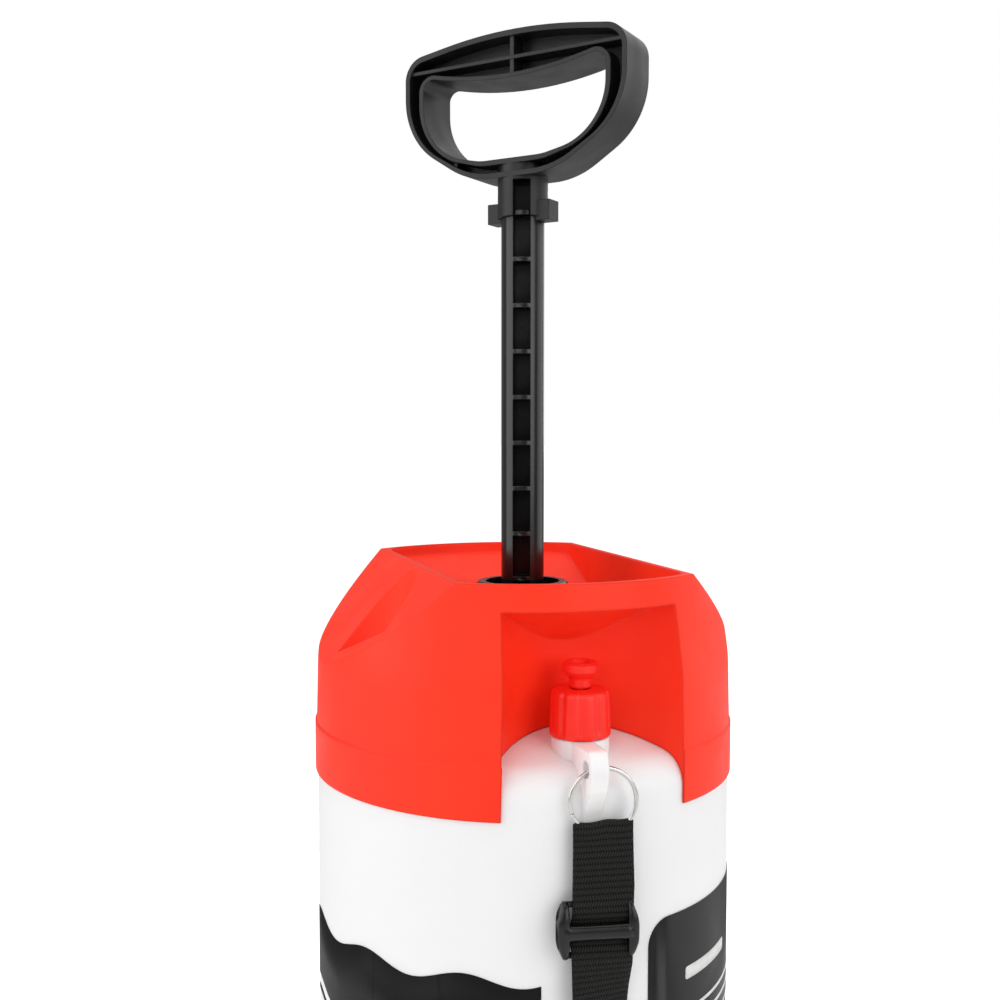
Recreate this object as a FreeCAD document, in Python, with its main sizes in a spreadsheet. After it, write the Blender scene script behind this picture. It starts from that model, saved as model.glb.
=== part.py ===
"""Pump-up compression sprayer: blow-moulded tank, funnel collar, piston pump, relief valve and strap.

Millimetres. +Z is up, the origin is the centre of the base on the floor, and the relief valve,
the front notch and the carrying strap face -Y. The pump is modelled with its handle drawn up.
"""

import FreeCAD, Part
import math
import os

import Sketcher
from FreeCAD import Rotation, Vector

# ---------------------------------------------------------------- driving dimensions

DIMENSIONS = {
    # tank
    "tank_radius": 95.0,
    "tank_wall": 2.6,
    "tank_floor": 12.0,
    "tank_corner": 22.0,
    "shoulder_start": 367.2,
    "shoulder_knee_radius": 56.0,
    "shoulder_knee": 379.8,
    "shoulder_round": 14.0,
    "neck_radius": 25.0,
    "neck_bore": 21.0,
    "neck_foot": 387.0,
    "shell_top": 390.0,
    "neck_top": 424.0,
    "boss_offset": 74.3,
    "boss_radius": 12.0,
    "boss_top": 378.8,
    "boss_bore": 6.6,
    # front lug with the eye for the strap's ring
    "lug_side": -3.0,
    "lug_blade_width": 8.0,
    "lug_front": 103.6,
    "eye_radius": 3.45,
    "eye_reach": 98.4,
    "eye_level": 371.4,
    # base foot
    "foot_radius": 97.6,
    "foot_height": 36.0,
    "foot_floor": 2.6,
    "strap_width": 25.0,
    "strap_thickness": 1.3,
    # funnel collar
    "skirt_bottom": 350.0,
    "skirt_radius": 96.1,
    "band_top": 371.6,
    "wall_radius": 95.4,
    "waist_radius": 94.6,
    "waist_level": 403.0,
    "rim_radius": 88.7,
    "rim_level": 443.0,
    "rim_half_width": 52.0,
    "collar_wall": 2.8,
    "slope_foot": 97.0,
    "slope_level": 400.1,
    "slope_round": 20.0,
    "bowl_floor": 403.0,
    "bowl_corner": 12.0,
    "notch_left": 39.0,
    "notch_left_top": 36.5,
    "notch_right": 41.0,
    "notch_round": 44.0,
    "notch_centre": 102.0,
    "scoop_radius": 18.2,
    "lintel": 432.0,
    # pump
    "cap_top": 433.5,
    "cap_flange_radius": 24.3,
    "cap_recess_radius": 17.2,
    "cap_recess_depth": 9.0,
    "barrel_radius": 18.5,
    "barrel_bore": 16.5,
    "barrel_top": 417.6,
    "barrel_bottom": 196.0,
    "rod_radius": 9.9,
    "rod_top": 618.0,
    "rod_bottom": 394.3,
    "rod_slot_width": 7.9,
    "rod_slot_depth": 7.2,
    "rib_pitch": 20.75,
    "rib_thickness": 2.0,
    "top_rib": 601.35,
    "spigot_radius": 6.0,
    # handle
    "handle_half_width": 57.0,
    "handle_thickness": 23.0,
    "handle_web": 3.0,
    "handle_skin": 2.3,
    "handle_top": 682.0,
    "handle_shoulder": 678.0,
    "handle_bottom": 617.3,
    "socket_radius": 11.5,
    "socket_bottom": 600.0,
    "socket_slot_top": 616.0,
    "pin_level": 611.5,
    "pin_radius": 1.75,
    "lug_reach": 16.0,
    "lug_height": 9.0,
    "lug_bottom": 598.0,
    # relief valve
    "valve_cap_radius": 12.6,
    "valve_cap_bottom": 379.1,
    "valve_cap_top": 398.0,
    "valve_cap_flutes": 10.0,
    "knob_radius": 7.6,
    "knob_top": 409.3,
    "stem_radius": 2.2,
    # strap hardware
    "ring_radius": 13.0,
    "ring_wire": 1.1,
    "ring_level": 359.1,
    "strap_standoff": 98.9,
    "strap_shift": 0.3,
    "slider_width": 32.6,
    "slider_height": 24.5,
    "slider_bottom": 295.7,
    "slider_shift": -3.1,
    # hose outlet
    "tail_radius": 4.0,
    "tail_level": 394.0,
    "tail_end": 104.0,
}

HANDLE_TURN = -48.2
ROD_TURN = -21.6
RING_TURN = -12.0
SLIDER_TURN = -10.0
FLUTE_PHASE = 32.6


class Size:
    """A length that knows its value and the spreadsheet expression that gives it."""

    def __init__(self, value, text):
        self.value = value
        self.text = text

    def joined(self, sign, other, value):
        return Size(value, "(" + self.text + " " + sign + " " + text_of(other) + ")")

    def __add__(self, other):
        return self.joined("+", other, self.value + number(other))

    def __sub__(self, other):
        return self.joined("-", other, self.value - number(other))

    def __mul__(self, other):
        return self.joined("*", other, self.value * number(other))

    def __truediv__(self, other):
        return self.joined("/", other, self.value / number(other))

    def __neg__(self):
        return Size(-self.value, "(-" + self.text + ")")


class Sizes:
    """The driving dimensions by name."""


def number(size):
    return size.value if isinstance(size, Size) else float(size)


def text_of(size):
    return size.text if isinstance(size, Size) else repr(float(size))


doc = FreeCAD.newDocument("sprayer")
sheet = doc.addObject("Spreadsheet::Sheet", "Sizes")
S = Sizes()
for row, (name, value) in enumerate(DIMENSIONS.items(), start=1):
    sheet.set("A" + str(row), name)
    sheet.set("B" + str(row), str(value))
    sheet.setAlias("B" + str(row), name)
    setattr(S, name, Size(value, "Sizes." + name))
doc.recompute()

nodes = []

# ---------------------------------------------------------------- building blocks


def bind(item, path, size):
    """Ties one property to the sheet, or sets it where it is a plain number."""
    if isinstance(size, Size):
        item.setExpression(path, size.text)
    elif "." not in path:
        setattr(item, path, float(size))


def place(item, x=0.0, y=0.0, z=0.0, turn=0.0, axis=Vector(0, 0, 1)):
    """Puts an object at a point, turned about an axis, with each coordinate tied to the sheet."""
    item.Placement = FreeCAD.Placement(Vector(number(x), number(y), number(z)), Rotation(axis, turn))
    for letter, size in (("x", x), ("y", y), ("z", z)):
        bind(item, "Placement.Base." + letter, size)
    return item


def node(item, label):
    """Names a finished sub-part."""
    item.Label = label
    nodes.append(item)
    return item


def cylinder(name, radius, bottom, height, x=0.0, y=0.0):
    item = doc.addObject("Part::Cylinder", name)
    item.Radius = number(radius)
    item.Height = number(height)
    bind(item, "Radius", radius)
    bind(item, "Height", height)
    return place(item, x, y, bottom)


def tube(name, outer, inner, bottom, height, x=0.0, y=0.0):
    return cut(
        name,
        cylinder(name + "_outer", outer, bottom, height, x, y),
        cylinder(name + "_inner", inner, bottom - 1.0, height + 2.0, x, y),
    )


def box(name, low, size, turn=0.0):
    """A box from its lowest corner, turned about the Z axis through the origin."""
    item = doc.addObject("Part::Box", name)
    for side, length in zip(("Length", "Width", "Height"), size):
        setattr(item, side, number(length))
        bind(item, side, length)
    if turn == 0.0:
        return place(item, *low)
    corner = Rotation(Vector(0, 0, 1), turn).multVec(Vector(*[number(v) for v in low]))
    item.Placement = FreeCAD.Placement(corner, Rotation(Vector(0, 0, 1), turn))
    return item


def cut(name, base, *tools):
    item = doc.addObject("Part::Cut", name)
    item.Base = base
    item.Tool = tools[0] if len(tools) == 1 else fuse(name + "_tools", *tools)
    return item


def fuse(name, *parts):
    item = doc.addObject("Part::MultiFuse", name)
    item.Shapes = list(parts)
    return item


def common(name, *parts):
    item = doc.addObject("Part::MultiCommon", name)
    item.Shapes = list(parts)
    return item


def origin_plane(body, role):
    return [plane for plane in body.Origin.OriginFeatures if plane.Role == role][0]


def pin_point(sketch, geometry, end, x, y):
    """Holds one end of a sketch line at (x, y), each coordinate tied to the sheet."""
    for kind, size, axis in (("DistanceX", x, -2), ("DistanceY", y, -1)):
        value = number(size)
        if abs(value) < 1e-9:
            sketch.addConstraint(Sketcher.Constraint("PointOnObject", geometry, end, axis))
            continue
        text = text_of(size)
        if value > 0:
            index = sketch.addConstraint(Sketcher.Constraint(kind, -1, 1, geometry, end, value))
        else:
            index = sketch.addConstraint(Sketcher.Constraint(kind, geometry, end, -1, 1, -value))
            text = "-" + text
        if isinstance(size, Size):
            sketch.setExpression("Constraints[" + str(index) + "]", text)


def rounding(corners, i):
    """Where a rounded corner's arc starts, ends and passes, as offsets from the corner."""
    point, before, after = [
        Vector(number(c[0]), number(c[1]), 0)
        for c in (corners[i], corners[i - 1], corners[(i + 1) % len(corners)])
    ]
    radius = number(corners[i][2]) if len(corners[i]) > 2 else 0.0
    back = (before - point).normalize()
    ahead = (after - point).normalize()
    half = back.getAngle(ahead) / 2
    reach = radius / math.tan(half)
    middle = (back + ahead).normalize() * (radius / math.sin(half) - radius)
    return back * reach, ahead * reach, middle


def outline(body, role, corners, offset=None):
    """A closed sketch through corners (x, y) or (x, y, radius), rounded by tangent arcs."""
    sketch = body.newObject("Sketcher::SketchObject", body.Name + "_outline")
    sketch.AttachmentSupport = (origin_plane(body, role), [""])
    sketch.MapMode = "FlatFace"
    if offset is not None:
        sketch.AttachmentOffset = FreeCAD.Placement(Vector(0, 0, number(offset)), Rotation())
        bind(sketch, "AttachmentOffset.Base.z", offset)
    count = len(corners)
    points = [Vector(number(c[0]), number(c[1]), 0) for c in corners]
    bends = [rounding(corners, i) for i in range(count)]
    lines = []
    for i in range(count):
        j = (i + 1) % count
        used = bends[i][1].Length + bends[j][0].Length
        if used > points[i].distanceToPoint(points[j]) - 1e-3:
            raise RuntimeError(body.Name + ": the roundings at corners " + str((i, j)) + " overlap")
        run = Part.LineSegment(points[i] + bends[i][1], points[j] + bends[j][0])
        lines.append(sketch.addGeometry(run, False))
    for i in range(count):
        before = lines[i - 1]
        after = lines[i]
        x, y = corners[i][0], corners[i][1]
        start, end, middle = bends[i]
        if start.Length == 0:
            sketch.addConstraint(Sketcher.Constraint("Coincident", before, 2, after, 1))
            pin_point(sketch, after, 1, x, y)
            continue
        # an arc runs anticlockwise, so a right turn's arc is drawn from its far end
        left_turn = end.cross(start).z > 0
        ends = (start, end) if left_turn else (end, start)
        bend = sketch.addGeometry(
            Part.Arc(points[i] + ends[0], points[i] + middle, points[i] + ends[1]), False
        )
        first, second = (1, 2) if left_turn else (2, 1)
        sketch.addConstraint(Sketcher.Constraint("Coincident", before, 2, bend, first))
        sketch.addConstraint(Sketcher.Constraint("Coincident", bend, second, after, 1))
        pin_point(sketch, before, 2, x + start.x, y + start.y)
        pin_point(sketch, after, 1, x + end.x, y + end.y)
        radius = corners[i][2]
        index = sketch.addConstraint(Sketcher.Constraint("Radius", bend, number(radius)))
        if isinstance(radius, Size):
            sketch.setExpression("Constraints[" + str(index) + "]", radius.text)
    return sketch


def turned(name, corners, x=0.0, y=0.0, angle=360.0):
    """A body of revolution about Z from a profile of (radius, level) corners."""
    body = doc.addObject("PartDesign::Body", name)
    sketch = outline(body, "XZ_Plane", corners)
    spin = body.newObject("PartDesign::Revolution", name + "_turned")
    spin.Profile = sketch
    spin.ReferenceAxis = (sketch, ["V_Axis"])
    spin.Angle = angle
    return place(body, x, y)


def prism(name, role, corners, length, offset=None, midplane=False):
    """A body padded from an outline on one of the origin planes."""
    body = doc.addObject("PartDesign::Body", name)
    sketch = outline(body, role, corners, offset)
    pad = body.newObject("PartDesign::Pad", name + "_pad")
    pad.Profile = sketch
    pad.Length = number(length)
    bind(pad, "Length", length)
    pad.Midplane = midplane
    return body


def rounded_box(name, low, high, radius):
    """An upright box with rounded vertical edges."""
    corners = [
        (low[0], low[1], radius),
        (high[0], low[1], radius),
        (high[0], high[1], radius),
        (low[0], high[1], radius),
    ]
    height = number(high[2]) - number(low[2])
    return prism(name, "XY_Plane", corners, height, offset=low[2])


def turned_about_z(item, angle):
    """Turns a sub-part about the tank's axis."""
    item.Placement = FreeCAD.Placement(Vector(0, 0, 0), Rotation(Vector(0, 0, 1), angle))
    return item


# ---------------------------------------------------------------- tank and foot


def tank_profile(grow):
    """The tank's outer half outline, grown outwards by a clearance."""
    return [
        (0.0, 22.0),
        (58.0, S.tank_floor),
        (S.tank_radius + grow, S.tank_floor, S.tank_corner),
        (S.tank_radius + grow, S.shoulder_start + grow, S.shoulder_round),
        (S.shoulder_knee_radius, S.shoulder_knee + grow, 30.0),
        (S.neck_radius + grow, S.neck_foot + grow, 2.0),
        (S.neck_radius + grow, S.shell_top),
        (0.0, S.shell_top),
    ]


def make_tank():
    hollow = turned(
        "tank_hollow",
        [
            (0.0, 25.0),
            (57.0, S.tank_floor + S.tank_wall),
            (S.tank_radius - S.tank_wall, S.tank_floor + S.tank_wall, 19.0),
            (S.tank_radius - S.tank_wall, S.shoulder_start - 3.0, 12.0),
            (S.shoulder_knee_radius, S.shoulder_knee - S.tank_wall),
            (S.neck_bore, S.neck_foot - S.tank_wall),
            (S.neck_bore, S.shell_top + 1.0),
            (0.0, S.shell_top + 1.0),
        ],
    )
    lug = prism(
        "lug_blade",
        "YZ_Plane",
        [
            (-82.0, S.boss_top),
            (-S.lug_front + 2.0, S.boss_top, 3.0),
            (-S.lug_front, 371.0, 4.0),
            (-S.lug_front + 1.6, 363.0, 6.0),
            (-95.7, 352.5, 6.0),
            (-95.7, 330.0),
            (-94.0, 330.0),
            (-94.0, 360.0),
            (-82.0, 368.0),
        ],
        S.lug_blade_width,
        midplane=True,
    )
    place(lug, S.lug_side)
    eye_length = 20.0
    lug_eye = cylinder("lug_eye", S.eye_radius, 0.0, eye_length)
    lug_eye.Placement = FreeCAD.Placement(
        Vector(
            DIMENSIONS["lug_side"] - eye_length / 2, -DIMENSIONS["eye_reach"], DIMENSIONS["eye_level"]
        ),
        Rotation(Vector(0, 1, 0), 90),
    )
    front_boss = cylinder(
        "front_boss", S.boss_radius, 364.0, S.boss_top - 364.0, 0.0, -S.boss_offset
    )
    rear_boss = cylinder("rear_boss", S.boss_radius + 1.0, 364.0, 16.0, 0.0, S.boss_offset)
    shell = fuse(
        "tank_outside", turned("tank_blank", tank_profile(0.0)), front_boss, rear_boss, lug
    )
    front_bore = cylinder("front_bore", S.boss_bore, 350.0, 40.0, 0.0, -S.boss_offset)
    rear_bore = cylinder("rear_bore", 7.1, 350.0, 40.0, 0.0, S.boss_offset)
    # the eye goes through the lug alone, clear of the shoulder
    node(cut("tank_shell", shell, hollow, front_bore, rear_bore, lug_eye), "tank")
    neck_height = S.neck_top - S.shell_top
    node(tube("neck_tube", S.neck_radius, S.neck_bore, S.shell_top, neck_height), "neck_ring")


def make_base_foot():
    """A pressed-on cup foot with a seat ring for the tank and the lower strap bar."""
    inner = S.tank_radius + 0.25
    floor = S.foot_floor
    seat = S.tank_floor - 0.1
    ring = turned(
        "foot_ring",
        [
            (0.0, 0.0),
            (S.foot_radius - 1.0, 0.0),
            (S.foot_radius, 1.0),
            (S.foot_radius, S.foot_height - 1.2),
            (S.foot_radius - 1.2, S.foot_height),
            (inner, S.foot_height),
            (inner, floor),
            (68.0, floor),
            (68.0, seat),
            (64.0, seat),
            (64.0, floor),
            (0.0, floor),
        ],
    )
    shelf = rounded_box("strap_bar_plate", (-18.0, -110.0, 16.0), (18.0, -96.2, 20.0), 3.0)
    slot = rounded_box("strap_bar_slot", (-14.0, -106.0, 15.0), (14.0, -100.5, 21.0), 2.0)
    body = cut("foot_body", fuse("foot_blank", ring, shelf), slot)
    node(body, "base_foot")


def make_label():
    """A thin adhesive label wrapped round the right of the wall, from 13 degrees beside the valve."""
    skin = turned(
        "label_skin",
        [
            (S.tank_radius + 0.02, 168.0),
            (S.tank_radius + 0.32, 168.0),
            (S.tank_radius + 0.32, 304.4),
            (S.tank_radius + 0.02, 304.4),
        ],
        angle=78.0,
    )
    node(turned_about_z(skin, -90.0 + 13.0), "label")


# ---------------------------------------------------------------- funnel collar


def slope_prism(name, inset, bottom, top):
    """The space between the two flat sloping sides, drawn in by a wall."""
    half = S.rim_half_width - inset
    foot = S.slope_foot - inset
    shift = (S.slope_foot - S.rim_half_width) / (S.rim_level - S.slope_level)
    over = half - shift * (top - S.rim_level)
    return prism(
        name,
        "XZ_Plane",
        [
            (-foot, bottom),
            (foot, bottom),
            (foot, S.slope_level - inset * 0.4, S.slope_round),
            (over, top),
            (-over, top),
            (-foot, S.slope_level - inset * 0.4, S.slope_round),
        ],
        220.0,
        midplane=True,
    )


def collar_outside(name, inset, top):
    """The collar's outer form: a turned wall cut by the two sloping sides."""
    profile = [
        (0.0, S.skirt_bottom - inset),
        (S.skirt_radius - inset, S.skirt_bottom - inset),
        (S.skirt_radius - inset, S.band_top),
        (S.wall_radius - inset, S.band_top + 0.5),
        (S.waist_radius - inset, S.waist_level, 90.0),
        (S.rim_radius - inset, top),
        (0.0, top),
    ]
    sides = slope_prism(name + "_sides", inset, S.skirt_bottom - inset - 1.0, top)
    return common(name, turned(name + "_turned", profile), sides)


def bowl(name, grow, top):
    """The funnel's bowl: straight sides, round front and back, and a curved floor."""
    half = S.rim_half_width - S.collar_wall - 0.4 + grow
    arc = S.rim_radius - S.collar_wall - 0.7 + grow
    spread = math.radians(28.0)
    apex = arc / math.cos(spread)
    depth = apex - (half * math.tan(spread))
    plan = [
        (half, -depth, S.bowl_corner + grow),
        (half, depth, S.bowl_corner + grow),
        (0.0, apex, arc),
        (-half, depth, S.bowl_corner + grow),
        (-half, -depth, S.bowl_corner + grow),
        (0.0, -apex, arc),
    ]
    floor = S.bowl_floor - grow
    well = prism(name + "_well", "XY_Plane", plan, top - floor, offset=floor)
    dish = turned(
        name + "_dish",
        [
            (0.0, floor),
            (S.neck_radius + 13.0 + grow * 0.5, floor, 8.0),
            (66.0 + grow * 0.8, 427.0 - grow, 30.0),
            (arc + 1.0, S.rim_level - 4.0 - grow),
            (arc + 1.0, top),
            (0.0, top),
        ],
    )
    return common(name, well, dish)


def pocket(name, grow, top):
    """The upright recess behind a notch: straight sides and a concave back."""
    right = S.notch_right + grow
    slab = prism(
        name + "_slab",
        "XZ_Plane",
        [
            (-(S.notch_left + grow), 330.0),
            (right, 330.0),
            (right, top),
            (-(S.notch_left_top + grow), top),
        ],
        300.0,
        midplane=True,
    )
    back = cylinder(name + "_back", S.notch_round + grow, 330.0, top - 330.0, 0.0, -S.notch_centre)
    return common(name, slab, back)


def make_collar():
    wall = S.collar_wall
    outside = collar_outside("collar_outside", 0.0, S.rim_level)
    inside = collar_outside("collar_inside", 2.8, S.rim_level - wall)
    shell = cut("collar_shell", outside, inside)
    bowl_skin = common("bowl_skin", bowl("bowl_outer", 2.8, S.rim_level + 1.0), outside)
    pocket_front = common("pocket_walls", pocket("pocket_outer", 2.8, S.lintel + 2.8), outside)
    pocket_rear = doc.addObject("Part::Mirroring", "pocket_walls_rear")
    pocket_rear.Source = pocket_front
    pocket_rear.Normal = Vector(0, 1, 0)
    scoop_wall = common("scoop_walls", scoop("scoop_outer", 2.6), outside)
    solid = fuse("collar_solid", shell, bowl_skin, pocket_front, pocket_rear, scoop_wall)
    bowl_space = bowl("bowl_space", 0.0, S.rim_level + 20.0)
    notch = cut("notch_front", pocket("pocket_inner", 0.0, S.lintel), bowl("bowl_keep", 2.8, S.rim_level))
    notch_rear = doc.addObject("Part::Mirroring", "notch_rear")
    notch_rear.Source = notch
    notch_rear.Normal = Vector(0, 1, 0)
    tank_room = turned("tank_room", tank_profile(0.15))
    boss_room = cylinder("boss_room", S.boss_radius + 1.5, 340.0, 60.0, 0.0, S.boss_offset)
    neck_room = cylinder("neck_room", S.neck_radius + 0.35, 380.0, 60.0)
    body = cut(
        "collar_body", solid, bowl_space, notch, notch_rear, tank_room, boss_room, neck_room,
        scoop("scoop_inner", 0.0),
    )
    node(body, "funnel_collar")


def scoop(name, grow):
    """The leaning round recess in the left slope that holds the lance's tip."""
    foot = Vector(-82.4, -30.5, 414.0)
    rise = Vector(0.296, 0.485, 0.822).normalize()
    item = doc.addObject("Part::Cylinder", name)
    item.Radius = DIMENSIONS["scoop_radius"] + grow
    item.Height = 60.0 + grow
    bind(item, "Radius", S.scoop_radius + grow)
    item.Placement = FreeCAD.Placement(foot - rise * grow, Rotation(Vector(0, 0, 1), rise))
    return item


def make_collar_nut():
    """The ring nut that clamps the bowl's floor to the neck."""
    ring = tube("nut_ring", 31.0, S.neck_radius + 0.2, S.bowl_floor + 0.05, 9.0)
    grips = []
    for index in range(8):
        grip = box("nut_grip_" + str(index), (28.5, -3.0, S.bowl_floor + 0.05), (5.0, 6.0, 9.0), index * 45.0)
        grips.append(grip)
    core = cylinder("nut_core", S.neck_radius + 0.2, S.bowl_floor - 1.0, 11.0)
    node(cut("nut_body", fuse("nut_blank", ring, *grips), core), "collar_nut")


# ---------------------------------------------------------------- relief valve


def make_valve():
    y = -S.boss_offset
    seat = turned(
        "seat_body",
        [
            (2.4, 358.0), (5.6, 358.0), (6.5, 360.0), (6.5, S.boss_top + 0.1),
            (9.6, S.boss_top + 0.1), (9.6, 380.2), (4.4, 380.2), (3.6, 379.4), (2.4, 379.4),
        ],
        0.0, y,
    )
    node(seat, "valve_seat")
    blank = turned(
        "valve_cap_blank",
        [
            (10.0, S.valve_cap_bottom), (S.valve_cap_radius, S.valve_cap_bottom),
            (S.valve_cap_radius - 0.1, 383.0),
            (S.valve_cap_radius - 0.7, S.valve_cap_top - 1.5), (S.valve_cap_radius - 2.2, S.valve_cap_top),
            (3.0, S.valve_cap_top), (3.0, 394.6), (10.0, 394.6),
        ],
        0.0, y,
    )
    flutes = []
    for index in range(int(DIMENSIONS["valve_cap_flutes"])):
        angle = math.radians(36.0 * index + FLUTE_PHASE)
        reach = 13.65
        flute = cylinder("flute_" + str(index), 1.9, 381.0, 20.0)
        flute.Placement.Base = Vector(
            reach * math.cos(angle), -DIMENSIONS["boss_offset"] + reach * math.sin(angle), 381.0
        )
        flutes.append(flute)
    node(cut("valve_cap_body", blank, *flutes), "valve_cap")
    seal = tube("seal_disc", 6.0, 1.5, 380.5, 2.3, 0.0, y)
    node(seal, "relief_seal")
    stem = turned(
        "stem_body",
        [
            (0.0, 378.0), (1.4, 378.0), (1.4, 382.85), (7.4, 382.85), (7.4, 384.6),
            (S.stem_radius, 384.6), (S.stem_radius, 404.0), (0.0, 404.0),
        ],
        0.0, y,
    )
    node(stem, "relief_stem")
    knob = turned(
        "knob_body",
        [
            (S.stem_radius + 0.02, 398.5), (4.6, 398.5, 1.0), (4.4, 402.5, 2.0), (6.6, 404.6, 1.2),
            (S.knob_radius, 405.6), (S.knob_radius, 408.3, 0.6), (6.4, S.knob_top, 0.5), (4.4, S.knob_top),
            (2.6, 406.4), (0.0, 406.4), (0.0, 404.05), (S.stem_radius + 0.02, 404.05),
        ],
        0.0, y,
    )
    node(knob, "relief_knob")
    node(spring("relief_coil", 5.0, 0.47, 2.55, 8.7, Vector(0, y.value, 385.15)), "relief_spring")


def spring(name, radius, wire, pitch, height, foot):
    """A compression spring of eight-sided wire."""
    section = Part.makePolygon([
        Vector(radius + wire * math.cos(math.radians(45 * k)), 0, wire * math.sin(math.radians(45 * k)))
        for k in (0, 1, 2, 3, 4, 5, 6, 7, 0)
    ])
    line = Part.Wire(Part.makeHelix(pitch, height, radius).Edges)
    item = doc.addObject("Part::Feature", name)
    item.Shape = line.makePipeShell([section], True, True)
    item.Placement = FreeCAD.Placement(foot, Rotation())
    return item


# ---------------------------------------------------------------- hose outlet


def make_outlet():
    y = S.boss_offset
    plug = cylinder("outlet_plug", 6.9, 360.0, 37.0, 0.0, y)
    dome = turned("outlet_dome", [(0.0, 389.1), (7.6, 389.1), (7.6, 399.4, 2.0), (0.0, 399.4)], 0.0, y)
    tail = cylinder("outlet_tail", S.tail_radius, 0.0, S.tail_end - S.boss_offset)
    tail.Placement = FreeCAD.Placement(
        Vector(0, DIMENSIONS["boss_offset"], DIMENSIONS["tail_level"]), Rotation(Vector(1, 0, 0), -90)
    )
    flange = cylinder("outlet_flange", 5.0, 0.0, 84.0 - DIMENSIONS["boss_offset"])
    flange.Placement = tail.Placement
    riser_bore = cylinder("outlet_riser_bore", 3.0, 355.0, 41.0, 0.0, y)
    tail_bore = cylinder("outlet_tail_bore", 2.4, 0.0, 40.0)
    tail_bore.Placement = tail.Placement
    blank = fuse("outlet_blank", plug, dome, flange, tail)
    node(cut("outlet_body", blank, riser_bore, tail_bore), "hose_outlet")
    node(tube("outlet_ring", 12.0, 7.0, 380.05, 1.8, 0.0, y), "outlet_gasket")
    hexagon = doc.addObject("Part::Prism", "outlet_hex")
    hexagon.Polygon = 6
    hexagon.Circumradius = 12.6
    hexagon.Height = 7.0
    place(hexagon, 0.0, y, 381.9)
    hole = cylinder("outlet_hex_hole", 7.0, 380.0, 12.0, 0.0, y)
    node(cut("outlet_nut_body", hexagon, hole), "outlet_nut")
    node(tube("dip_pipe", 4.6, 3.2, 22.0, 337.9, 0.0, y), "dip_tube")
    cage = turned(
        "filter_cup",
        [(0.0, 17.5), (7.0, 17.5), (7.0, 34.0), (4.7, 34.0), (4.7, 21.8), (0.0, 21.8)],
        0.0, y,
    )
    slit_start = DIMENSIONS["boss_offset"] - 0.6
    slits = [
        box("filter_slit_" + str(k), (-8.0, slit_start + 3.0 * k, 16.0), (16.0, 1.2, 4.0))
        for k in (-1, 0, 1)
    ]
    node(cut("filter_body", cage, *slits), "dip_filter")


# ---------------------------------------------------------------- pump


def make_pump_cap():
    recess_floor = S.cap_top - S.cap_recess_depth
    body = turned(
        "cap_body",
        [
            (12.0, S.barrel_top + 0.2), (S.barrel_radius + 0.1, S.barrel_top + 0.2),
            (S.barrel_radius + 0.1, 400.0),
            (20.6, 400.0), (20.6, 426.0), (S.cap_flange_radius, 426.0), (S.cap_flange_radius, 430.6, 0.8),
            (21.8, 431.6), (20.4, S.cap_top, 0.6), (S.cap_recess_radius, S.cap_top),
            (S.cap_recess_radius, recess_floor), (12.0, recess_floor),
        ],
    )
    grips = []
    for index in range(24):
        grips.append(
            box("cap_grip_" + str(index), (23.7, -0.7, 425.0), (3.0, 1.4, 8.0), index * 15.0)
        )
    node(cut("cap_knurled", body, *grips), "pump_cap")
    node(tube("cap_seal_ring", 24.2, 21.05, S.neck_top + 0.05, 1.9), "cap_gasket")
    node(tube("guide_bush", 11.95, S.rod_radius + 0.3, S.barrel_top + 0.4, 6.4), "rod_guide")
    node(tube("bumper", 15.8, S.rod_radius + 0.35, 413.4, 4.2), "stop_washer")


def make_pump_barrel():
    tube_length = S.barrel_top - S.barrel_bottom
    node(tube("barrel_tube", S.barrel_radius, S.barrel_bore, S.barrel_bottom, tube_length), "pump_barrel")
    end = turned(
        "barrel_end",
        [
            (1.6, 188.0), (19.9, 188.0), (19.9, 208.0), (S.barrel_radius + 0.05, 208.0),
            (S.barrel_radius + 0.05, 195.95), (1.6, 195.95),
        ],
    )
    ports = []
    for index in range(6):
        angle = math.radians(60.0 * index)
        port = cylinder("end_port_" + str(index), 1.6, 180.0, 20.0)
        port.Placement.Base = Vector(8.0 * math.cos(angle), 8.0 * math.sin(angle), 180.0)
        ports.append(port)
    node(cut("barrel_end_body", end, *ports), "foot_valve_body")
    disc = turned(
        "valve_disc",
        [
            (0.0, 184.6), (4.0, 184.6), (13.0, 186.4), (13.0, 187.9), (1.5, 187.9),
            (1.5, 196.6), (2.4, 197.4), (1.2, 199.4), (0.0, 199.4),
        ],
    )
    node(disc, "foot_valve_disc")


def make_piston():
    spigot = S.spigot_radius + 0.08
    node(
        turned(
            "piston_ring",
            [(spigot, 386.6), (13.4, 386.6), (13.4, 388.4), (15.9, 388.4), (15.9, 393.9), (spigot, 393.9)],
        ),
        "piston_body",
    )
    node(
        turned(
            "cup_ring",
            [(spigot, 380.4), (12.6, 380.4), (15.4, 376.6), (16.2, 376.6), (16.2, 386.0), (13.6, 388.2),
             (13.6, 386.4), (spigot, 386.4)],
        ),
        "piston_cup",
    )


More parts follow.
